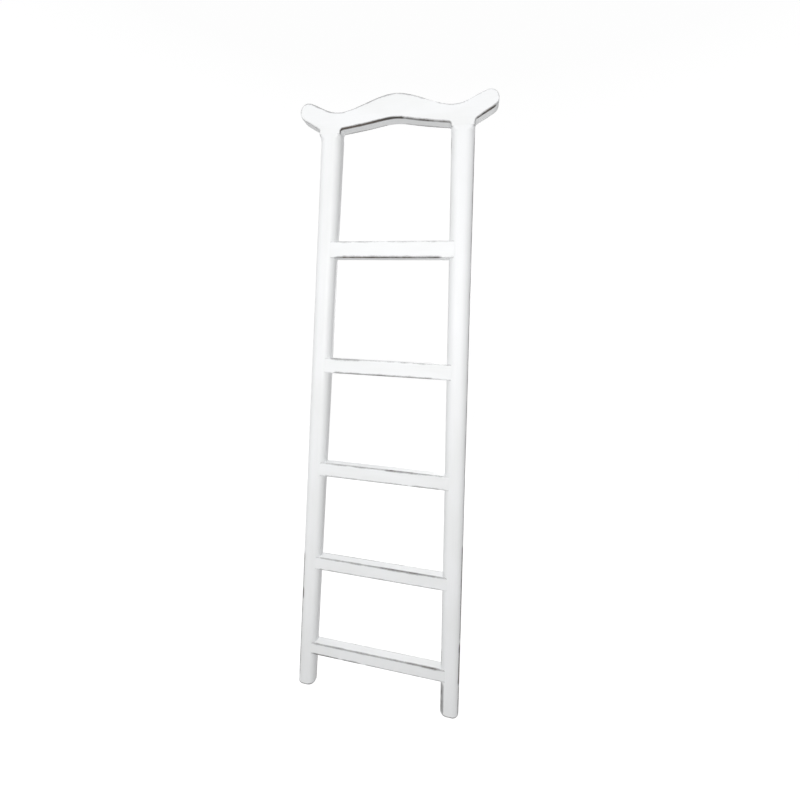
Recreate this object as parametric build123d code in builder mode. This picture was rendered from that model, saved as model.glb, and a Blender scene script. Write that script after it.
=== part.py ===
"""Painted wooden towel ladder: two splayed stiles, five flat rungs and a yoke top rail.

Millimetres. Z is up from the floor, X runs along the rungs, and the front faces -Y.
The origin is on the floor, midway between the feet and midway through the stiles.
"""
import math
import os

from build123d import *

os.makedirs("parts", exist_ok=True)

# ---- stiles ----
FOOT_OUT = 260.0            # outer face of a stile at the floor, from the centre line
SPLAY = 0.04375             # how far a stile leans in for each mm of height (2.5 degrees)
STILE_W, STILE_D = 55.0, 36.0
FRONT_R, BACK_R = 20.0, 8.0  # round-over on the front corners, eased back corners
FRONT = -STILE_D / 2        # the flush front plane of stiles and yoke
BLEND = 10.0                # height over which the round-over runs out under the yoke

# ---- rungs ----
RUNG_LOW = 138.0            # centre of the lowest rung above the floor
RUNG_PITCH = 300.0
RUNG_COUNT = 5
RUNG_H, RUNG_D = 41.0, 30.0
RUNG_SET = 1.0              # the rung faces sit this far behind the stile faces
ARRIS = 2.0                 # softened edge of the rungs and the yoke

# ---- yoke rail ----
SEAT = 1608.0               # where the stiles stop and the yoke sits
YOKE_D = 28.0
CREST = 1686.0              # top of the central hump
DIP_X, DIP = 139.0, 1654.0
EAR_X, EAR_Z, EAR_R = 219.0, 1658.5, 20.5   # centre and radius of the rounded ear
UNDER_MID, UNDER_END = 1632.6, 1615.5       # lower edge at the middle and beside the stiles
EAR_ROOT = 1618.0           # where the underside of the ear meets the stile line
NECK_R = 6.0                # small fillet where the underside turns down onto the stile

# ---- joints ----
TENON_T, TENON_H, TENON_L = 12.0, 28.0, 34.0    # rung tenon: thick, high, long
CAP_TENON_W, CAP_TENON_L = 30.0, 32.0           # tenon on top of each stile
TENON_Y = FRONT + RUNG_SET + RUNG_D / 2         # mid-depth of the rungs and their tenons
CAP_Y = FRONT + YOKE_D / 2                      # mid-depth of the yoke and the stile-top tenons
PLAY = 0.15                 # slack on each cheek of a tenon
END_PLAY = 1.0              # glue room at the bottom of a mortise
SCRIBE = 0.1                # gap left where a rung is scribed to the rounded stile
PEG_R, PEG_TIP = 3.5, -12.0  # pegs driven from the back, and where their tips end in Y
PEG_IN = TENON_L / 2        # peg centre, measured along the tenon from its shoulder

LEAN = math.hypot(1, SPLAY)
STILE_X0 = FOOT_OUT - STILE_W / 2 * LEAN        # centre of the stile at the floor
YOKE_BACK = FRONT + YOKE_D
SIDES = {"left": -1, "right": 1}
RUNG_Z = {n + 1: RUNG_LOW + RUNG_PITCH * (RUNG_COUNT - 1 - n) for n in range(RUNG_COUNT)}


def centre_x(z):
    """Distance of a stile's centre line from the middle of the ladder at height z."""
    return STILE_X0 - SPLAY * z


def inner_x(z):
    return centre_x(z) - STILE_W / 2 * LEAN


def outer_x(z):
    return centre_x(z) + STILE_W / 2 * LEAN


def stile_plane(side, z, y=0.0):
    """A plane square to the leaning stile, at height z on its centre line."""
    return Plane(origin=(side * centre_x(z), y, z), x_dir=(1, 0, side * SPLAY),
                 z_dir=(-side * SPLAY, 0, 1))


def stile_section(plane, depth, front_r, back_r, grow):
    with BuildSketch(plane) as section:
        Rectangle(STILE_W + 2 * grow, depth + 2 * grow)
        fillet(section.vertices().group_by(Axis.Y)[0], front_r + grow)
        fillet(section.vertices().group_by(Axis.Y)[-1], back_r + grow)
    return section.sketch


def stile_blank(side, grow=0.0):
    """The outside of one stile: rounded for most of its height, squarer under the yoke."""
    with BuildPart() as blank:
        foot = stile_section(stile_plane(side, -5), STILE_D, FRONT_R, BACK_R, grow)
        extrude(foot, amount=(SEAT - BLEND + 5) * LEAN)
        round_end = stile_section(stile_plane(side, SEAT - BLEND), STILE_D, FRONT_R, BACK_R, grow)
        flush_end = stile_section(stile_plane(side, SEAT + 2, CAP_Y), YOKE_D, ARRIS, ARRIS, grow)
        loft([round_end, flush_end], ruled=True)
        split(bisect_by=Plane.XY, keep=Keep.TOP)
        split(bisect_by=Plane.XY.offset(SEAT), keep=Keep.BOTTOM)
    return blank.part


def peg_at(x, z, back, radius, tip):
    """A round peg, or the hole for one, running in from the back."""
    with Locations(Plane.XZ.offset(-back)):
        with Locations((x, z)):
            Cylinder(radius, back - tip, align=(Align.CENTER, Align.CENTER, Align.MIN),
                     mode=Mode.ADD if radius == PEG_R else Mode.SUBTRACT)


def make_stile(side):
    with BuildPart() as stile:
        add(stile_blank(side))
        with BuildSketch(stile_plane(side, SEAT - 2, CAP_Y)):
            Rectangle(CAP_TENON_W, TENON_T)
        extrude(amount=CAP_TENON_L + 2)
        for z in RUNG_Z.values():
            with Locations((side * (inner_x(z) - 5), TENON_Y, z)):
                Box(TENON_L + END_PLAY + 5, TENON_T + 2 * PLAY, TENON_H + 2 * PLAY,
                    align=(Align.MIN if side > 0 else Align.MAX, Align.CENTER, Align.CENTER),
                    mode=Mode.SUBTRACT)
            peg_at(side * (inner_x(z) + PEG_IN), z, STILE_D / 2, PEG_R + PLAY, PEG_TIP - END_PLAY)
        z = SEAT + PEG_IN
        peg_at(side * centre_x(z), z, YOKE_BACK, PEG_R + PLAY, PEG_TIP - END_PLAY)
    return stile.part


def make_rung(z):
    with BuildPart() as rung:
        with Locations((0, TENON_Y, z)):
            Box(2 * centre_x(z), RUNG_D, RUNG_H)
        fillet(rung.edges().filter_by(Axis.X), ARRIS)
        for side in SIDES.values():
            add(stile_blank(side, grow=SCRIBE), mode=Mode.SUBTRACT)
        with Locations((0, TENON_Y, z)):
            Box(2 * (inner_x(z) + TENON_L), TENON_T, TENON_H)
        for side in SIDES.values():
            peg_at(side * (inner_x(z) + PEG_IN), z, STILE_D / 2, PEG_R + PLAY, PEG_TIP - END_PLAY)
    return rung.part


def make_peg(x, z, back):
    with BuildPart() as peg:
        peg_at(x, z, back, PEG_R, PEG_TIP)
    return peg.part


def keep(part, name):
    part.label = name
    export_step(part, f"parts/{name}.step")


# The two stiles: straight bars leaning in, each with five mortises and a tenon on top.
for name, side in SIDES.items():
    keep(make_stile(side), f"{name}_stile")

# Five flat rungs, their shoulders scribed round the stiles, with a stub tenon each end.
for number, z in RUNG_Z.items():
    keep(make_rung(z), f"rung_{number}")

# The yoke rail: half an outline from hump to ear to neck, mirrored, cut from one board.
tip = math.atan2(EAR_Z - EAR_ROOT, EAR_X - outer_x(EAR_ROOT))   # towards the ear from its root
reach = math.hypot(EAR_Z - EAR_ROOT, EAR_X - outer_x(EAR_ROOT))
turn = tip - math.asin(EAR_R / reach)                           # slope of the ear's underside
ear_low = (EAR_X + EAR_R * math.sin(turn), EAR_Z - EAR_R * math.cos(turn))
ear_mid = (EAR_X + EAR_R * math.cos(turn / 2), EAR_Z + EAR_R * math.sin(turn / 2))
LOWEST = SEAT - 10
with BuildPart() as yoke_rail:
    with BuildSketch(Plane.XZ.offset(-YOKE_BACK)) as outline:
        with BuildLine():
            Spline((0, CREST), (34, 1681.3), (105, 1659.3), (DIP_X, DIP), (167, 1659.3),
                   (198, 1673), (EAR_X, EAR_Z + EAR_R), tangents=((1, 0), (1, 0)))
            ThreePointArc((EAR_X, EAR_Z + EAR_R), ear_mid, ear_low)
            Polyline(ear_low, (outer_x(EAR_ROOT), EAR_ROOT), (outer_x(LOWEST), LOWEST),
                     (inner_x(LOWEST), LOWEST), (inner_x(UNDER_END), UNDER_END))
            Spline((inner_x(UNDER_END), UNDER_END), (50, 1626.5), (0, UNDER_MID),
                   tangents=((-1, 0.12), (-1, 0)))
            mirror(about=Plane.YZ)
        make_face()
        roots = [v for v in outline.vertices() if UNDER_END - 1 < v.Y < EAR_ROOT + 1]
        fillet(roots, NECK_R)
    extrude(amount=YOKE_D)
    fillet(yoke_rail.faces().filter_by(Axis.Y).edges(), ARRIS)
    split(bisect_by=Plane.XY.offset(SEAT), keep=Keep.TOP)
    for side in SIDES.values():
        with BuildSketch(stile_plane(side, SEAT - 2, CAP_Y)):
            Rectangle(CAP_TENON_W + 2 * PLAY, TENON_T + 2 * PLAY)
        extrude(amount=CAP_TENON_L + 2 + END_PLAY, mode=Mode.SUBTRACT)
        z = SEAT + PEG_IN
        peg_at(side * centre_x(z), z, YOKE_BACK, PEG_R + PLAY, PEG_TIP - END_PLAY)
keep(yoke_rail.part, "yoke_rail")

# Twelve pegs driven in from the back, one through every tenon.
for name, side in SIDES.items():
    for number, z in RUNG_Z.items():
        keep(make_peg(side * (inner_x(z) + PEG_IN), z, STILE_D / 2), f"peg_rung_{number}_{name}")
    z = SEAT + PEG_IN
    keep(make_peg(side * centre_x(z), z, YOKE_BACK), f"peg_yoke_{name}")
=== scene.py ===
"""White-painted, rubbed-back towel ladder: two splayed stiles, five flat rungs, a yoke rail."""
import math

import bmesh
import bpy
import numpy as np
from mathutils import Matrix, Vector, kdtree, noise


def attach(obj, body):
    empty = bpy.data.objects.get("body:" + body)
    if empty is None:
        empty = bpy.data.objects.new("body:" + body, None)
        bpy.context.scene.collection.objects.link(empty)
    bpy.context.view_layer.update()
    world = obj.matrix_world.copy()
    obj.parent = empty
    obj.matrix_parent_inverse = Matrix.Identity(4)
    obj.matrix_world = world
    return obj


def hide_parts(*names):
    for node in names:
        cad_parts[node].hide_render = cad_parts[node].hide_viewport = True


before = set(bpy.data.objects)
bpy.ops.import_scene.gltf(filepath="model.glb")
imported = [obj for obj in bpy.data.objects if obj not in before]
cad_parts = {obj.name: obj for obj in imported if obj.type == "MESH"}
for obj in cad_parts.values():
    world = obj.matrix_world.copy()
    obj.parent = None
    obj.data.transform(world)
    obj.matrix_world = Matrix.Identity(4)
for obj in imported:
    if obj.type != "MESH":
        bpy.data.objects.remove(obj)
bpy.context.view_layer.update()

# ---- the stiles -----------------------------------------------------------------------------
# Two straight bars of softwood, planed by hand, leaning in towards the top. Their front corners
# are rounded over and run out below the yoke, where the faces are worked flush. Mortises down
# the inner faces take the rungs, and a tenon on each top end goes up into the yoke.
MM = 0.001                       # everything is in metres
FOOT_OUT = 260 * MM              # outer face of a stile at the floor, from the middle
LEAN_IN = 0.04375                # how far a stile leans in for each metre of height
STILE_W, STILE_D = 55 * MM, 36 * MM
FRONT_R, BACK_R = 20 * MM, 8 * MM
FRONT_Y = -STILE_D / 2           # the flush front plane
SEAT_Z = 1608 * MM               # where the yoke sits down on the stiles
RUN_OUT = 10 * MM                # height over which the round-over fades below the yoke
YOKE_D = 28 * MM
YOKE_Y = FRONT_Y + YOKE_D / 2    # mid-depth of the yoke
ARRIS = 2 * MM                   # softened edge of rungs and yoke
FOOT_ARRIS = 1.6 * MM            # the sawn foot, rubbed round by the floor
STRETCH = math.hypot(1, LEAN_IN)  # a level cut through a leaning bar is this much wider
TENON_T, TENON_H, TENON_L = 12 * MM, 28 * MM, 34 * MM
CAP_TENON_W, CAP_TENON_L = 30 * MM, 32 * MM
PLAY, END_PLAY = 0.15 * MM, 1 * MM
OVERCUT = 5 * MM                 # how far a cutting tool starts outside the wood
RUNG_LOW, RUNG_PITCH, RUNG_COUNT = 138 * MM, 300 * MM, 5
RUNG_Z = {n: RUNG_LOW + RUNG_PITCH * (RUNG_COUNT - n) for n in range(1, RUNG_COUNT + 1)}
RUNG_D, RUNG_H, RUNG_SET = 30 * MM, 41 * MM, 1 * MM
RUNG_Y = FRONT_Y + RUNG_SET + RUNG_D / 2     # a rung's face sits just behind the stiles' faces
PEG_R, PEG_TIP_Y = 3.5 * MM, -12 * MM
CAP_PEG_Z = SEAT_Z + TENON_L / 2  # the peg through a stile's own tenon
PLANING = 0.5 * MM               # how much the planed faces of stiles and rungs wander
CREASE = math.radians(40)        # corners sharper than this stay crisp
SIDES = {"left": -1, "right": 1}


def centre_x(z):
    """How far a stile's centre line is from the middle of the ladder, at height z."""
    return FOOT_OUT - STILE_W / 2 * STRETCH - LEAN_IN * z


def inner_x(z):
    return centre_x(z) - STILE_W / 2 * STRETCH


def outer_x(z):
    return centre_x(z) + STILE_W / 2 * STRETCH


def rung_peg(side, z):
    """Where a peg crosses a rung's tenon, and the face behind that it is driven in from."""
    return side * (inner_x(z) + TENON_L / 2), z, STILE_D / 2


def yoke_peg(side):
    return side * centre_x(CAP_PEG_Z), CAP_PEG_Z, FRONT_Y + YOKE_D


def section(width, depth, front_r, back_r, middle_y):
    """Points round a bar whose front and back corners have their own radii, always as many."""
    arc_steps, flat_steps = 8, 5
    half, front, back = width / 2, middle_y - depth / 2, middle_y + depth / 2
    corners = [(half - front_r, front + front_r, front_r, -90),
               (half - back_r, back - back_r, back_r, 0),
               (back_r - half, back - back_r, back_r, 90),
               (front_r - half, front + front_r, front_r, 180)]
    points = []
    for here, following in zip(corners, corners[1:] + corners[:1]):
        x, y, r, start = here
        turn = np.radians(start + np.linspace(0, 90, arc_steps + 1))
        arc = np.column_stack([x + r * np.cos(turn), y + r * np.sin(turn)])
        x, y, r, start = following
        begin = np.array([x + r * math.cos(math.radians(start)),
                          y + r * math.sin(math.radians(start))])
        flat = [arc[-1] + (begin - arc[-1]) * k / flat_steps for k in range(1, flat_steps)]
        points += [*arc, *flat]
    return np.array(points)


def loft(name, rings, lidded=True):
    """A piece through rings of as many points each, capped below and, if lidded, above."""
    count = len(rings[0])
    faces = [list(range(count))[::-1]]
    for k in range(len(rings) - 1):
        low, high = k * count, (k + 1) * count
        faces += [[low + i, low + (i + 1) % count, high + (i + 1) % count, high + i]
                  for i in range(count)]
    if lidded:
        faces.append([len(rings) * count - count + i for i in range(count)])
    mesh = bpy.data.meshes.new(name)
    mesh.from_pydata(np.concatenate(rings).tolist(), [], faces)
    return put(name, mesh)


def put(name, mesh):
    """Puts a mesh in the scene with its faces outwards, smooth but for its crisp corners."""
    shape = bmesh.new()
    shape.from_mesh(mesh)
    bmesh.ops.remove_doubles(shape, verts=shape.verts, dist=0.002 * MM)
    bmesh.ops.recalc_face_normals(shape, faces=shape.faces)
    shape.to_mesh(mesh)
    shape.free()
    mesh.shade_smooth()
    mesh.set_sharp_from_angle(angle=CREASE)
    piece = bpy.data.objects.new(name, mesh)
    bpy.context.scene.collection.objects.link(piece)
    return piece


def stile_bar(name, side, step, grow=0.0, wave=0.0, tenon=True):
    """One stile as level slices from the foot to the seat, with its tenon above.

    A blank, grown a little and without its tenon, is what the rung shoulders are scribed to.
    """
    full = section(STILE_W + 2 * grow, STILE_D + 2 * grow, FRONT_R + grow, BACK_R + grow, 0)
    flush = section(STILE_W + 2 * grow, YOKE_D + 2 * grow, ARRIS + grow, ARRIS + grow, YOKE_Y)
    eased = [0, 0.25 * FOOT_ARRIS, FOOT_ARRIS]
    fade_z = SEAT_Z - RUN_OUT
    heights = eased + list(np.arange(FOOT_ARRIS + step / 2, fade_z - step / 2, step))
    heights += list(np.linspace(fade_z, SEAT_Z, 12))
    rings = []
    for z in heights:
        run = max(0.0, (z - fade_z) / (RUN_OUT + 2 * MM))
        outline = (1 - run) * full + run * flush
        inset = FOOT_ARRIS - math.sqrt(max(0.0, FOOT_ARRIS**2 - max(0, FOOT_ARRIS - z) ** 2))
        shrink = 1 - 2 * inset / STILE_D
        ring = []
        for x, y in outline:
            planed = noise.noise(Vector((x * 30 + side * 7, y * 30, z * 7)))
            dip = shrink * (1 - wave * (0.5 + 0.5 * planed) / STILE_W)
            ring.append((side * centre_x(z) + x * STRETCH * dip, y * dip, z))
        rings.append(np.array(ring))
    if tenon:
        corner, taper = 0.4 * MM, 3 * MM
        root = section(CAP_TENON_W, TENON_T, corner, corner, YOKE_Y)
        tip = section(CAP_TENON_W - taper, TENON_T - taper, corner, corner, YOKE_Y)
        for outline, up in ((root, 0), (root, CAP_TENON_L - 2 * MM), (tip, CAP_TENON_L)):
            z = SEAT_Z + up
            rings.append(np.array([(side * centre_x(z) + x, y, z) for x, y in outline]))
    return loft(name, rings)


def cutters(name, boxes=(), pegs=()):
    """Tools for mortises, as (centre, size, lean) boxes, and peg holes, as (x, z, back) bores."""
    shape = bmesh.new()
    for centre, size, lean in boxes:
        turn = Matrix.Rotation(lean, 4, "Y")
        place = Matrix.Translation(centre) @ turn @ Matrix.Diagonal((*size, 1))
        bmesh.ops.create_cube(shape, size=1, matrix=place)
    for x, z, back in pegs:
        tip, end = PEG_TIP_Y - END_PLAY, back + OVERCUT
        place = Matrix.Translation((x, (tip + end) / 2, z)) @ Matrix.Rotation(math.pi / 2, 4, "X")
        bmesh.ops.create_cone(shape, cap_ends=True, segments=32, radius1=PEG_R + PLAY,
                              radius2=PEG_R + PLAY, depth=end - tip, matrix=place)
    mesh = bpy.data.meshes.new(name)
    shape.to_mesh(mesh)
    shape.free()
    return put(name, mesh)


def carve(piece, *tools):
    """Cuts each tool's shape out of a piece and puts the tool away."""
    for tool in tools:
        cut = piece.modifiers.new("cut", "BOOLEAN")
        cut.operation, cut.solver, cut.object = "DIFFERENCE", "EXACT", tool
        settle(piece)
        bpy.data.objects.remove(tool)


def settle(piece):
    """Turns a piece's modifiers into plain mesh."""
    bpy.context.view_layer.update()
    seen = piece.evaluated_get(bpy.context.evaluated_depsgraph_get())
    mesh = bpy.data.meshes.new_from_object(seen)
    piece.modifiers.clear()
    piece.data = mesh
    mesh.shade_smooth()
    mesh.set_sharp_from_angle(angle=CREASE)


def srgb(code):
    """An sRGB hex colour as linear light, opaque."""
    parts = [int(code[i:i + 2], 16) / 255 for i in (1, 3, 5)]
    return (*[c / 12.92 if c <= 0.04045 else ((c + 0.055) / 1.055) ** 2.4 for c in parts], 1.0)


def add(tree, kind, inputs=None, **settings):
    """Adds a node. Each input gets a plain value, a hex colour, or the node or socket feeding it."""
    made = tree.nodes.new(kind)
    for key, value in settings.items():
        setattr(made, key, value)
    for socket, value in (inputs or {}).items():
        if isinstance(value, bpy.types.Node):
            value = value.outputs[0]
        if isinstance(value, bpy.types.NodeSocket):
            tree.links.new(value, made.inputs[socket])
        elif isinstance(value, str) and value.startswith("#"):
            made.inputs[socket].default_value = srgb(value)
        else:
            made.inputs[socket].default_value = value
    return made


# Chalky white wall-type paint brushed over dark-stained softwood and rubbed back with fine
# paper: a soft sheen with brush drag along the grain, paint thinned to grey beside the corners,
# and stained wood showing brown-black where a corner is rubbed bare.
def brushed_paint(name, paint, paint_warm, thin, bare_dark, bare_light, bare_deep):
    """A coat in two whites, thinned to a grey, over wood in three tones."""
    material = bpy.data.materials.new(name)
    material.use_nodes = True
    tree = material.node_tree
    tree.nodes.clear()
    lay = add(tree, "ShaderNodeAttribute", attribute_name="lay").outputs["Vector"]
    # The rubbed attribute also holds painted shade on the right stile, drawn as thinned grey and
    # bare wood.
    rubbed = add(tree, "ShaderNodeAttribute", attribute_name="rubbed").outputs["Fac"]

    def streaks(along, across, detail=3.0, rough=0.55):
        """Noise drawn out along the grain; along and across are the marks' sizes in metres."""
        drawn = add(tree, "ShaderNodeMapping",
                    {"Vector": lay, "Scale": (1 / along, 1 / across, 1 / across)})
        return add(tree, "ShaderNodeTexNoise", {"Vector": drawn, "Scale": 1.0, "Detail": detail,
                                                "Roughness": rough}).outputs["Fac"]

    drag = streaks(120 * MM, 2.2 * MM)             # brush drag; real bristle lines are finer
    hair = streaks(60 * MM, 0.9 * MM)              # single bristle lines
    cloud = streaks(170 * MM, 60 * MM, 2.0)        # how thick the coat went on
    grain = streaks(90 * MM, 5 * MM, 4.0, 0.65)    # growth rings telegraphing through
    patch = streaks(38 * MM, 16 * MM, 3.0)         # where the paper bit
    nibble = streaks(5 * MM, 1.6 * MM, 3.0, 0.7)   # ragged edge of the coat
    fibre = streaks(22 * MM, 0.7 * MM, 4.0, 0.7)   # fibres and stain lines in the bare wood

    # Both noises average a half, so wear swings evenly about what the corner's rubbing gives.
    patchy, ragged = 0.42, 0.32
    worn = -(patchy + ragged) / 2
    for pattern, share in ((rubbed, 1.0), (nibble, ragged), (patch, patchy)):
        worn = add(tree, "ShaderNodeMath", {0: pattern, 1: share, 2: worn},
                   operation="MULTIPLY_ADD")

    soft = {}
    for title, pattern, low, high in (("warm", cloud, 0.35, 0.70), ("scuffed", worn, 0.14, 0.44),
                                      ("bare", worn, 0.44, 0.66), ("ringed", grain, 0.35, 0.65),
                                      ("stained", fibre, 0.42, 0.62)):
        soft[title] = add(tree, "ShaderNodeMapRange",
                          {"Value": pattern, "From Min": low, "From Max": high},
                          interpolation_type="SMOOTHSTEP")
    dragged = add(tree, "ShaderNodeMath", {0: drag, 1: 0.17}, operation="MULTIPLY")
    thinned = add(tree, "ShaderNodeMath", {0: soft["scuffed"], 1: 0.8}, operation="MULTIPLY")

    coat, wood = paint, bare_dark
    for cover, tint in ((soft["warm"], paint_warm), (dragged, "#DADCDD"), (thinned, thin)):
        coat = add(tree, "ShaderNodeMix", {0: cover, 6: coat, 7: tint}, data_type="RGBA").outputs[2]
    for cover, tint in ((soft["ringed"], bare_light), (soft["stained"], bare_deep)):
        wood = add(tree, "ShaderNodeMix", {0: cover, 6: wood, 7: tint}, data_type="RGBA").outputs[2]
    colour = add(tree, "ShaderNodeMix", {0: soft["bare"], 6: coat, 7: wood}, data_type="RGBA")

    roughness = 0.44
    for pattern, share in ((drag, 0.12), (soft["bare"], 0.20)):
        roughness = add(tree, "ShaderNodeMath", {0: pattern, 1: share, 2: roughness},
                        operation="MULTIPLY_ADD")
    film = 0.5
    for pattern, share in ((grain, 0.22), (drag, 0.16), (hair, 0.07), (soft["bare"], -0.5),
                           (fibre, 0.10)):
        film = add(tree, "ShaderNodeMath", {0: pattern, 1: share, 2: film},
                   operation="MULTIPLY_ADD")
    bump = add(tree, "ShaderNodeBump", {"Height": film, "Strength": 0.8, "Distance": 0.25 * MM})
    shader = add(tree, "ShaderNodeBsdfPrincipled",
                 {"Base Color": colour.outputs[2], "Roughness": roughness, "Normal": bump,
                  "IOR": 1.48})
    add(tree, "ShaderNodeOutputMaterial", {"Surface": shader})
    return material


chalk_paint = brushed_paint("chalk_paint_over_stained_wood", "#F4F5F6", "#F0F1F1", "#8E8E8F",
                            "#37322E", "#6A5F56", "#1D1A18")


def finish_piece(piece, along, rubbed, material, slot_name, *nodes):
    """Gives a piece its grain direction, its rubbed corners and any painted shade, its paint, and
    stands it for CAD.
    """
    mesh = piece.data
    count = len(mesh.vertices)
    at = np.empty(count * 3)
    mesh.vertices.foreach_get("co", at)
    at = at.reshape(-1, 3)
    along = np.array(along) / np.linalg.norm(along)
    through = np.array((0, 0, 1) if along[1] > 0.9 else (0, 1, 0))
    across = np.cross(through, along)
    lay = np.column_stack([at @ along, at @ across, at @ through])
    mesh.attributes.new("lay", "FLOAT_VECTOR", "POINT").data.foreach_set("vector", lay.ravel())
    mesh.attributes.new("rubbed", "FLOAT", "POINT").data.foreach_set("value", rubbed(at))
    mesh.materials.clear()
    mesh.materials.append(material)
    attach(piece, "root")
    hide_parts(*nodes)


def bell(value, middle, reach):
    """1 at the middle, fading to 0 at the given reach either side."""
    return np.clip(1 - np.abs(value - middle) / reach, 0, 1)


def span(value, start_at, end_at, soft):
    """1 between two places, fading out over a soft length at each end."""
    return np.clip(np.minimum(value - start_at, end_at - value) / soft + 0.5, 0, 1)


# Where each stile is rubbed, and where shade is painted on it, in millimetres: which face,
# from and to in height, how far back from mid-depth, how wide, how hard. The worst is a long bare
# streak low on the right stile.
STILE_WEAR_AND_SHADE = {
    "left": [("outer", 20, 470, -9, 7, 0.60), ("outer", 302, 350, -10, 8, 0.80),
             ("inner", 0, 116, 16, 10, 1.0), ("inner", 160, 420, 17, 8, 0.66),
             ("inner", 460, 720, 17, 7, 0.5), ("outer", 900, 1250, 10, 7, 0.5)],
    "right": [("outer", 108, 252, -2, 9, 1.0), ("outer", 252, 560, -2, 8, 0.74),
              # painted shade and wear: the long thin line from 560 mm up is the rounding darkening
              # at the silhouette
              ("outer", 0, 108, -3, 7, 0.74), ("outer", 560, 1590, -2, 7, 0.50),
              # painted shade and grime: the broad 14 mm band at the foot is the inner rounding's
              # shade near the floor
              ("inner", 0, 112, -3, 8, 0.74), ("inner", 0, 112, -9, 14, 0.54),
              ("inner", 162, 222, -2, 7, 0.72), ("inner", 222, 430, -2, 6, 0.55),
              ("inner", 1556, 1592, -2, 7, 0.55), ("outer", 640, 980, 15, 7, 0.6)],
}


def stile_wear_and_shade(name, side):
    """Wear and painted shade at each point of one stile: its foot, its corners, then its own marks.
    """
    def rubbed(at):
        x, y, z = at.T / MM
        off = side * x - centre_x(at[:, 2]) / MM
        half, front, rear = STILE_W / 2 / MM, FRONT_Y / MM, STILE_D / 2 / MM
        foot = bell(z, 0, 6) * 0.9
        back = np.minimum(bell(y, rear, 10), bell(np.abs(off), half, 10)) ** 0.6 * 0.5
        from_corner = np.hypot(np.abs(off) - half, y - front)
        under_yoke = bell(z, SEAT_Z / MM, 14) * bell(from_corner, 0, 12) * 0.5
        wear = np.maximum(np.maximum(foot, back), under_yoke)
        for face, low, high, depth, width, strength in STILE_WEAR_AND_SHADE[name]:
            facing = (off > 0) if face == "outer" else (off < 0)
            beside = facing * (np.abs(off) > 16)
            mark = span(z, low, high, 26) * bell(y, depth, width) ** 0.65
            wear = np.maximum(wear, strength * beside * mark)
        return wear
    return rubbed


for name, side in SIDES.items():
    stile = stile_bar(f"painted_{name}_stile", side, 6 * MM, wave=PLANING)
    deep = TENON_L + END_PLAY
    mortises = [((side * (inner_x(z) + (deep - OVERCUT) / 2), RUNG_Y, z),
                 (deep + OVERCUT, TENON_T + 2 * PLAY, TENON_H + 2 * PLAY), 0)
                for z in RUNG_Z.values()]
    bores = [rung_peg(side, z) for z in RUNG_Z.values()] + [yoke_peg(side)]
    carve(stile, cutters("chisel", boxes=mortises), cutters("auger", pegs=bores))
    finish_piece(stile, (-side * LEAN_IN, 0, 1), stile_wear_and_shade(name, side), chalk_paint, "painted_wood",
                 f"{name}_stile")

# ---- the rungs ------------------------------------------------------------------------------
# Five flat bars with softened corners, each cut to its own length between the leaning stiles.
# Their shoulders are scribed to the rounded stiles and a stub tenon at each end goes home in a
# mortise. Towels and hands have rubbed the corners through in different places on each.
rung_tree = bpy.data.node_groups.new("flat_rung", "GeometryNodeTree")
for title, kind in (("Length", "Float"), ("Height", "Float"), ("Depth", "Float"),
                    ("Arris", "Float"), ("Middle", "Vector"), ("Tenons", "Vector"),
                    ("Wave", "Float"), ("Seed", "Float"), ("Scribe To", "Object"),
                    ("Paint", "Material")):
    rung_tree.interface.new_socket(title, in_out="INPUT", socket_type=f"NodeSocket{kind}")
rung_tree.interface.new_socket("Geometry", in_out="OUTPUT", socket_type="NodeSocketGeometry")
given = add(rung_tree, "NodeGroupInput").outputs
half = add(rung_tree, "ShaderNodeMath", {0: given["Length"], 1: 0.5}, operation="MULTIPLY")
to_end = add(rung_tree, "ShaderNodeCombineXYZ", {"X": half})
start = add(rung_tree, "ShaderNodeVectorMath", {0: given["Middle"], 1: to_end},
            operation="SUBTRACT")
end = add(rung_tree, "ShaderNodeVectorMath", {0: given["Middle"], 1: to_end}, operation="ADD")
path = add(rung_tree, "GeometryNodeCurvePrimitiveLine", {"Start": start, "End": end})
path = add(rung_tree, "GeometryNodeResampleCurve", {"Curve": path, "Length": 4 * MM},
           mode="LENGTH")
outline = add(rung_tree, "GeometryNodeCurvePrimitiveQuadrilateral",
              {"Width": given["Depth"], "Height": given["Height"]})
outline = add(rung_tree, "GeometryNodeSubdivideCurve", {"Curve": outline, "Cuts": 7})
outline = add(rung_tree, "GeometryNodeFilletCurve",
              {"Curve": outline, "Radius": given["Arris"], "Count": 4}, mode="POLY")
bar = add(rung_tree, "GeometryNodeCurveToMesh",
          {"Curve": path, "Profile Curve": outline, "Fill Caps": True})
bar = add(rung_tree, "GeometryNodeMergeByDistance", {"Geometry": bar, "Distance": 0.01 * MM})

# The plane leaves each face a little low in places: noise moves the surface inwards only.
planed = add(rung_tree, "ShaderNodeTexNoise", {"W": given["Seed"], "Scale": 11.0, "Detail": 1.0},
             noise_dimensions="4D").outputs["Fac"]
inward = add(rung_tree, "ShaderNodeMath", {0: planed, 1: given["Wave"]}, operation="MULTIPLY")
inward = add(rung_tree, "ShaderNodeMath", {0: inward, 1: -1.0}, operation="MULTIPLY")
facing = add(rung_tree, "GeometryNodeInputNormal")
shift = add(rung_tree, "ShaderNodeVectorMath", {0: facing, "Scale": inward}, operation="SCALE")
bar = add(rung_tree, "GeometryNodeSetPosition", {"Geometry": bar, "Offset": shift})

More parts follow.
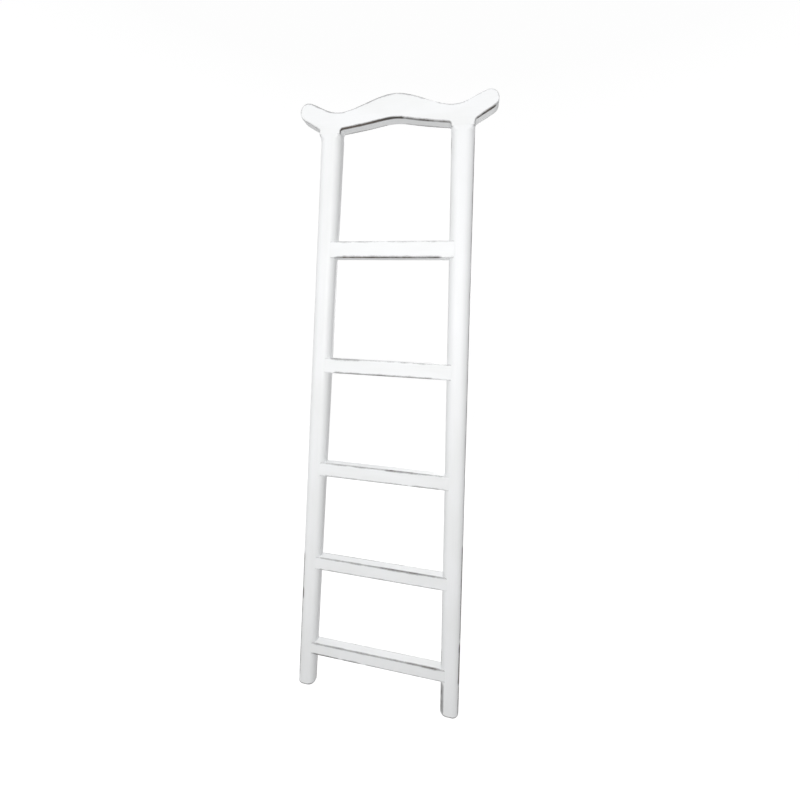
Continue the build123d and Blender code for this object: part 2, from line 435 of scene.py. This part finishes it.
# The shoulders are cut to the stiles, then one long tenon gives the stub at each end.
blanks = add(rung_tree, "GeometryNodeObjectInfo", {"Object": given["Scribe To"]})
bar = add(rung_tree, "GeometryNodeMeshBoolean",
          {"Mesh 1": bar, "Mesh 2": blanks.outputs["Geometry"]},
          operation="DIFFERENCE", solver="EXACT")
tenon = add(rung_tree, "GeometryNodeMeshCube", {"Size": given["Tenons"]})
tenon = add(rung_tree, "GeometryNodeTransform",
            {"Geometry": tenon, "Translation": given["Middle"]})
whole = add(rung_tree, "GeometryNodeMeshBoolean", operation="UNION", solver="EXACT")
for part in (bar, tenon):
    rung_tree.links.new(part.outputs[0], whole.inputs["Mesh 2"])
whole = add(rung_tree, "GeometryNodeRealizeInstances", {"Geometry": whole})
whole = add(rung_tree, "GeometryNodeSetMaterial",
            {"Geometry": whole, "Material": given["Paint"]})
add(rung_tree, "NodeGroupOutput", {"Geometry": whole})


def grow_tree(name, tree, inputs, base=None):
    """Runs a Geometry Nodes tree with the given inputs and keeps the result as plain mesh."""
    piece = bpy.data.objects.new(name, base or bpy.data.meshes.new(name))
    bpy.context.scene.collection.objects.link(piece)
    made = piece.modifiers.new("made", "NODES")
    made.node_group = tree
    for item in tree.interface.items_tree:
        if item.in_out == "INPUT" and item.name in inputs:
            made[item.identifier] = inputs[item.name]
    settle(piece)
    return piece


# Where each rung is rubbed: corner, from and to along the rung in millimetres, how hard.
RUNG_RUBS = {
    1: [("low front", -150, 132, 0.73), ("low front", -132, -108, 0.88),
        ("low front", 25, 50, 0.82), ("low back", -150, -100, 0.72), ("low back", -100, 40, 0.58),
        ("top back", -60, 60, 0.6)],
    2: [("top front", -160, -68, 0.58), ("low front", -150, 130, 0.66), ("top back", 0, 130, 0.6)],
    3: [("top front", -175, 175, 0.46), ("top front", 0, 95, 0.60), ("low front", 80, 165, 0.62),
        ("low front", -175, 80, 0.51), ("low back", -120, 20, 0.6)],
    4: [("top front", -190, 190, 0.52), ("top front", -5, 175, 0.63), ("low front", -190, -165, 0.7),
        ("low front", -165, 190, 0.56), ("top back", -190, 80, 0.5)],
    5: [("top front", -205, 205, 0.53), ("top front", 85, 195, 0.66),
        ("low front", -210, -115, 0.94), ("low front", -115, -40, 0.74),
        ("low front", -40, 205, 0.58), ("low back", 0, 160, 0.6)],
}
CORNERS = {"low front": (-1, -1), "top front": (-1, 1), "low back": (1, -1), "top back": (1, 1)}
LIGHT_RUB = 0.36


def rung_rub(number):
    """Every corner of a rung is rubbed lightly from end to end, and its own marks go deeper."""
    def rubbed(at):
        x, deep, high = ((at - (0, RUNG_Y, RUNG_Z[number])) / MM).T
        wear = np.zeros(len(at))
        marks = [(corner, -300, 300, LIGHT_RUB) for corner in CORNERS]
        for corner, start_at, end_at, strength in marks + RUNG_RUBS[number]:
            depth_sign, height_sign = CORNERS[corner]
            near = np.minimum(bell(deep, depth_sign * RUNG_D / 2 / MM, 8),
                              bell(high, height_sign * RUNG_H / 2 / MM, 8))
            wear = np.maximum(wear, strength * near * span(x, start_at, end_at, 22))
        return wear
    return rubbed


blanks = [stile_bar("blank", side, 24 * MM, grow=0.1 * MM, tenon=False) for side in (-1, 1)]
scribing = bmesh.new()
for blank in blanks:
    scribing.from_mesh(blank.data)
both = bpy.data.meshes.new("stile_blanks")
scribing.to_mesh(both)
scribing.free()
both = put("stile_blanks", both)
for number, z in RUNG_Z.items():
    rung = grow_tree(f"painted_rung_{number}", rung_tree, {
        "Length": 2 * centre_x(z), "Height": RUNG_H, "Depth": RUNG_D, "Arris": ARRIS,
        "Middle": (0, RUNG_Y, z), "Tenons": (2 * (inner_x(z) + TENON_L), TENON_T, TENON_H),
        "Wave": PLANING, "Seed": float(number), "Scribe To": both, "Paint": chalk_paint})
    carve(rung, cutters("auger", pegs=[rung_peg(side, z) for side in (-1, 1)]))
    finish_piece(rung, (1, 0, 0), rung_rub(number), chalk_paint, "painted_wood",
                 f"rung_{number}")
for blank in (*blanks, both):
    bpy.data.objects.remove(blank)

# ---- the yoke rail --------------------------------------------------------------------------
# One board sawn to a low hump with a dip over each stile and a rounded ear swept up beyond it.
# Two short necks come down flush on to the stiles, mortised underneath for the stile tenons.
# Its corners are softened by hand, and the lower front corner is rubbed to bare dark wood.
CREST_Z, DIP_X, DIP_Z = 1686 * MM, 139 * MM, 1654 * MM
EAR_X, EAR_Z, EAR_R = 219 * MM, 1658.5 * MM, 20.5 * MM
UNDER_MID_Z, UNDER_END_Z, EAR_ROOT_Z = 1632.6 * MM, 1615.5 * MM, 1618 * MM
NECK_R, NECK_LOW = 6 * MM, SEAT_Z - 10 * MM


def curve_through(points, first_slope, last_slope, step):
    """A smooth line through the points, with its slope held at both ends."""
    x, z = np.array(points).T
    gap, rise = np.diff(x), np.diff(z)
    size = len(x)
    left, right = np.eye(size), np.zeros(size)
    right[0], right[-1] = first_slope, last_slope
    for i in range(1, size - 1):
        left[i, i - 1:i + 2] = 1 / gap[i - 1], 2 / gap[i - 1] + 2 / gap[i], 1 / gap[i]
        right[i] = 3 * (rise[i - 1] / gap[i - 1] ** 2 + rise[i] / gap[i] ** 2)
    slope = np.linalg.solve(left, right)
    line = []
    for i in range(size - 1):
        count = max(2, round(gap[i] / step))
        for t in np.arange(count) / count:
            line.append((x[i] + t * gap[i],
                         (2 * t**3 - 3 * t**2 + 1) * z[i] + (3 * t**2 - 2 * t**3) * z[i + 1]
                         + gap[i] * ((t**3 - 2 * t**2 + t) * slope[i]
                                     + (t**3 - t**2) * slope[i + 1])))
    return line + [(x[-1], z[-1])]


def turned(before, corner, after, radius):
    """A rounded inside corner between two straight runs."""
    before, corner, after = map(np.array, (before, corner, after))
    a, b = before - corner, after - corner
    a, b = a / np.linalg.norm(a), b / np.linalg.norm(b)
    half = math.acos(float(a @ b)) / 2
    middle = corner + (a + b) / np.linalg.norm(a + b) * radius / math.sin(half)
    first, last = corner + a * radius / math.tan(half), corner + b * radius / math.tan(half)
    arc = []
    for t in np.linspace(0, 1, 6):
        spoke = (1 - t) * (first - middle) + t * (last - middle)
        arc.append(tuple(middle + spoke / np.linalg.norm(spoke) * radius))
    return arc


def straight(start_at, end_at, step):
    """The points between two ends, evenly spaced, without the ends."""
    start_at, end_at = np.array(start_at), np.array(end_at)
    count = max(1, round(np.linalg.norm(end_at - start_at) / step))
    return [tuple(start_at + (end_at - start_at) * k / count) for k in range(1, count)]


# The right half of the outline, clockwise from the crest. The underside of the ear is a straight
# line from the stile's corner that just touches the ear's circle.
STEP = 4 * MM                    # between points along the outline
UNDER_SLOPE = -0.12              # of the lower edge beside a stile
root = (outer_x(EAR_ROOT_Z), EAR_ROOT_Z)
reach = math.dist(root, (EAR_X, EAR_Z))
slant = math.atan2(EAR_Z - root[1], EAR_X - root[0]) - math.asin(EAR_R / reach)
top = curve_through([(0, CREST_Z), (34 * MM, 1681.3 * MM), (105 * MM, 1659.3 * MM),
                     (DIP_X, DIP_Z), (167 * MM, 1659.3 * MM), (198 * MM, 1673 * MM),
                     (EAR_X, EAR_Z + EAR_R)], 0, 0, STEP)
swing = np.linspace(math.pi / 2, slant - math.pi / 2, 18)
ear = [(EAR_X + EAR_R * math.cos(a), EAR_Z + EAR_R * math.sin(a)) for a in swing[1:]]
outer_low, inner_low = (outer_x(NECK_LOW), NECK_LOW), (inner_x(NECK_LOW), NECK_LOW)
outer_turn = turned(ear[-1], root, outer_low, NECK_R)
inner_root = (inner_x(UNDER_END_Z), UNDER_END_Z)
towards_middle = (inner_root[0] - 1, UNDER_END_Z - UNDER_SLOPE)
inner_turn = turned(inner_low, inner_root, towards_middle, NECK_R)
under = curve_through([(0, UNDER_MID_Z), (50 * MM, 1626.5 * MM), inner_turn[-1]], 0, UNDER_SLOPE,
                      STEP)
right_half = (top + ear + straight(ear[-1], outer_turn[0], STEP) + outer_turn
              + straight(outer_turn[-1], outer_low, STEP) + [outer_low]
              + straight(outer_low, inner_low, STEP) + [inner_low]
              + straight(inner_low, inner_turn[0], STEP) + inner_turn[:-1] + under[::-1])
edge = np.array(right_half + [(-x, z) for x, z in right_half[-2:0:-1]])
ahead, behind = np.roll(edge, -1, 0), np.roll(edge, 1, 0)
tangent = ahead - behind
inward = np.column_stack([tangent[:, 1], -tangent[:, 0]])
inward /= np.linalg.norm(inward, axis=1)[:, None]
sawn = np.array([noise.noise(Vector((x * 25, 3.0, z * 25))) for x, z in edge])
edge = edge + inward * (0.15 * MM * (1 + sawn))[:, None]

# Rings from front to back, each set in from the outline: flat face, rounded corner, sawn edge,
# and the same again to the back. The necks are drawn long and sawn off level at the seat.
profile = [(6 * MM, 0), (3.2 * MM, 0)]
profile += [(ARRIS * (1 - math.sin(a)), ARRIS * (1 - math.cos(a)))
            for a in np.linspace(0, math.pi / 2, 6)]
sides_y = [(0, y) for y in np.linspace(ARRIS, YOKE_D - ARRIS, 7)[1:-1]]
profile = profile + sides_y + [(inset, YOKE_D - y) for inset, y in profile[::-1]]
rings = []
for inset, y in profile:
    ring = edge + inward * inset
    rings.append(np.column_stack([ring[:, 0], np.full(len(ring), FRONT_Y + y), ring[:, 1]]))
yoke = loft("painted_yoke_rail", rings)
trim = bmesh.new()
trim.from_mesh(yoke.data)
bmesh.ops.bisect_plane(trim, geom=[*trim.verts, *trim.edges, *trim.faces],
                       plane_co=(0, 0, SEAT_Z), plane_no=(0, 0, 1), clear_inner=True)
bmesh.ops.holes_fill(trim, edges=[e for e in trim.edges if e.is_boundary], sides=0)
bmesh.ops.recalc_face_normals(trim, faces=trim.faces)
trim.to_mesh(yoke.data)
trim.free()
deep = CAP_TENON_L + END_PLAY
middle_z = SEAT_Z + (deep - OVERCUT) / 2
mortises = [((side * centre_x(middle_z), YOKE_Y, middle_z),
             (CAP_TENON_W + 2 * PLAY, TENON_T + 2 * PLAY, deep + OVERCUT),
             -side * math.atan(LEAN_IN)) for side in (-1, 1)]
carve(yoke, cutters("chisel", boxes=mortises),
      cutters("auger", pegs=[yoke_peg(side) for side in (-1, 1)]))
rim = kdtree.KDTree(len(edge))
for i, (x, z) in enumerate(edge):
    rim.insert((x, 0, z), i)
rim.balance()


# Where the yoke is rubbed, as for the rungs, and the line that parts its lower edge from its top.
YOKE_RUBS = [("low front", -138, 25, 0.94), ("low front", 20, 138, 0.66),
             ("low front", 188, 236, 0.80), ("top front", -240, 75, 0.52),
             ("low back", -138, -20, 0.74), ("low back", 20, 138, 0.78),
             ("low back", 180, 240, 0.55), ("top back", -60, 120, 0.6)]
PARTING_X = [0, 60, 140, 175, 200, 240]
PARTING_Z = [1637, 1630, 1619, 1624, 1634, 1655]


def yoke_rub(at):
    """The lower corners are rubbed hardest between the stiles, then under the right ear."""
    inset = np.array([rim.find((x, 0, z))[2] for x, y, z in at]) / MM
    x, y, z = at.T / MM
    front = np.minimum(bell(inset, 0, 6.5), bell(y, FRONT_Y / MM, 7))
    back = np.minimum(bell(inset, 0, 6.5), bell(y, (FRONT_Y + YOKE_D) / MM, 8))
    low = z < np.interp(np.abs(x), PARTING_X, PARTING_Z)
    near = {"low front": front * low, "top front": front * ~low,
            "low back": back * low, "top back": back * ~low}
    wear = LIGHT_RUB * np.maximum(front, back)
    for corner, start_at, end_at, strength in YOKE_RUBS:
        wear = np.maximum(wear, strength * near[corner] * span(x, start_at, end_at, 14))
    return wear


finish_piece(yoke, (1, 0, 0), yoke_rub, chalk_paint, "painted_wood", "yoke_rail")

# ---- the pegs -------------------------------------------------------------------------------
# Twelve whittled hardwood pegs driven in from the back, one through every tenon, cut off level
# and painted over with the rest. The coat has worn off their end grain sooner than elsewhere.
peg_tree = bpy.data.node_groups.new("driven_pegs", "GeometryNodeTree")
for title, kind in (("Geometry", "Geometry"), ("Radius", "Float"), ("Finish", "Material")):
    peg_tree.interface.new_socket(title, in_out="INPUT", socket_type=f"NodeSocket{kind}")
peg_tree.interface.new_socket("Geometry", in_out="OUTPUT", socket_type="NodeSocketGeometry")
given = add(peg_tree, "NodeGroupInput").outputs
length = add(peg_tree, "GeometryNodeInputNamedAttribute", {"Name": "reach"}, data_type="FLOAT")
shank = add(peg_tree, "GeometryNodeMeshCylinder",
            {"Radius": given["Radius"], "Vertices": 24, "Side Segments": 1, "Fill Segments": 3,
             "Depth": 1.0})
stand = add(peg_tree, "ShaderNodeCombineXYZ", {"X": 1.0, "Y": 1.0, "Z": length})
placed = add(peg_tree, "GeometryNodeInstanceOnPoints",
             {"Points": given["Geometry"], "Instance": shank, "Scale": stand,
              "Rotation": (math.pi / 2, 0, 0)})
made = add(peg_tree, "GeometryNodeRealizeInstances", {"Geometry": placed})
made = add(peg_tree, "GeometryNodeSetMaterial", {"Geometry": made, "Material": given["Finish"]})
add(peg_tree, "NodeGroupOutput", {"Geometry": made})

# The same paint worn thin and yellowed over pale end grain, so that each end reads as a beige
# disc with a darker rim. The wood under it is warmer and lighter than the stained softwood.
peg_paint = brushed_paint("worn_paint_on_peg_ends", "#EDEDE8", "#E2E0D8", "#A39B8E",
                          "#4A3A2C", "#7B634A", "#33281F")
SHY = 0.3 * MM                   # a peg is sawn off a shade below the surface
points, reaches = [], []
for side in (-1, 1):
    for x, z, back in [rung_peg(side, z) for z in RUNG_Z.values()] + [yoke_peg(side)]:
        points.append((x, (back - SHY + PEG_TIP_Y) / 2, z))
        reaches.append(back - SHY - PEG_TIP_Y)
spots = bpy.data.meshes.new("peg_spots")
spots.from_pydata(points, [], [])
spots.attributes.new("reach", "FLOAT", "POINT").data.foreach_set("value", reaches)
pegs = grow_tree("driven_pegs", peg_tree, {"Radius": PEG_R, "Finish": peg_paint}, spots)
peg_nodes = [f"peg_rung_{n}_{name}" for n in RUNG_Z for name in SIDES]


def peg_rub(at):
    """Each peg's end is worn its own amount, and most round the rim."""
    out = np.array([min(math.hypot(x - px, z - pz) for px, _, pz in points) for x, _, z in at])
    own = np.array([noise.noise(Vector((x * 9, 5.0, z * 9))) for x, _, z in at])
    return 0.40 + 0.25 * own + 0.22 * (out / PEG_R) ** 2


finish_piece(pegs, (0, 1, 0), peg_rub, peg_paint, "peg_wood", *peg_nodes, "peg_yoke_left",
             "peg_yoke_right")

# ---- floor, light and camera ----------------------------------------------------------------
# A round seamless floor of white acrylic that curves up into a wall, lit from within so that it
# stays pale, and throwing no light back at the wood. A broad softbox hangs overhead, a lamp in
# front lights the faces more at the top than at the feet, and a lamp behind fills the backs.
FLAT_R, BEND_R, WALL_TOP = 4.0, 2.0, 12.0    # metres
FLOOR_GLOW = 0.90
sweep = [(r, 0) for r in np.linspace(0.4, FLAT_R, 10)]
sweep += [(FLAT_R + BEND_R * math.sin(a), BEND_R - BEND_R * math.cos(a))
          for a in np.linspace(0.1, 1.57, 16)]
sweep += [(FLAT_R + BEND_R, z) for z in np.linspace(BEND_R + 1, WALL_TOP, 7)]
around = np.linspace(0, 2 * math.pi, 96, endpoint=False)
rings = [np.array([(r * math.cos(a), r * math.sin(a), z) for a in around]) for r, z in sweep]
bowl = loft("round_floor", rings, lidded=False)
acrylic = bpy.data.materials.new("white_acrylic_floor")
acrylic.use_nodes = True
surface = acrylic.node_tree.nodes["Principled BSDF"].inputs
surface["Base Color"].default_value = srgb("#828282")
surface["Roughness"].default_value = 0.9
surface["Specular IOR Level"].default_value = 0.0
surface["Emission Color"].default_value = srgb("#FFFFFF")
surface["Emission Strength"].default_value = FLOOR_GLOW
bowl.data.materials.append(acrylic)
bowl.visible_diffuse = False


def softbox(name, size_x, size_y, location, target, strength):
    """A rectangular lamp at a place, facing a target."""
    data = bpy.data.lights.new(name, "AREA")
    data.shape, data.size, data.size_y, data.energy = "RECTANGLE", size_x, size_y, strength
    lamp = bpy.data.objects.new(name, data)
    lamp.location = location
    facing = Vector(target) - lamp.location
    lamp.rotation_euler = facing.to_track_quat("-Z", "Y").to_euler()
    bpy.context.scene.collection.objects.link(lamp)


softbox("front_lamp", 0.9, 0.7, (-0.15, -2.6, 1.42), (0, 0, 1.42), 41)
softbox("rear_lamp", 1.4, 1.0, (0.4, 2.8, 1.4), (0, 0, 1.0), 32)
softbox("overhead_box", 6, 6, (0, 0, 5.4), (0, 0, 0), 142)

# The room is dim above and brighter below, as over a pale floor, which lights the undersides.
world = bpy.data.worlds.new("dim_room_with_pale_floor")
bpy.context.scene.world = world
world.use_nodes = True
sky = world.node_tree
direction = add(sky, "ShaderNodeTexCoord").outputs["Generated"]
height = add(sky, "ShaderNodeSeparateXYZ", {"Vector": direction}).outputs["Z"]
glow = add(sky, "ShaderNodeMapRange", {"Value": height, "From Min": -0.7, "From Max": 0.15,
                                       "To Min": 0.57, "To Max": 0.25})
sky.links.new(glow.outputs[0], sky.nodes["Background"].inputs["Strength"])
sky.nodes["Background"].inputs["Color"].default_value = srgb("#FFFFFF")

# The camera stands to the right at chest height, close in with a wide lens, and looks a little
# down and to the left.
CAMERA_AT, LENS, SENSOR = (0.2266, -0.9631, 1.1253), 16.54, 36
pitch, roll, turn = (math.radians(a) for a in (-9.87, -2.42, 11.04))
aim = (Matrix.Rotation(turn, 3, "Z") @ Matrix.Rotation(pitch, 3, "X")
       @ Matrix.Rotation(roll, 3, "Y"))
rightward, forward, upward = aim.col
place = Matrix((rightward, upward, -forward)).transposed().to_4x4()
place.translation = CAMERA_AT
camera_data = bpy.data.cameras.new("camera")
camera_data.sensor_width, camera_data.lens = SENSOR, LENS
camera = bpy.data.objects.new("camera", camera_data)
camera.matrix_world = place
bpy.context.scene.collection.objects.link(camera)
bpy.context.scene.camera = camera
bpy.context.scene.view_settings.view_transform = "Standard"
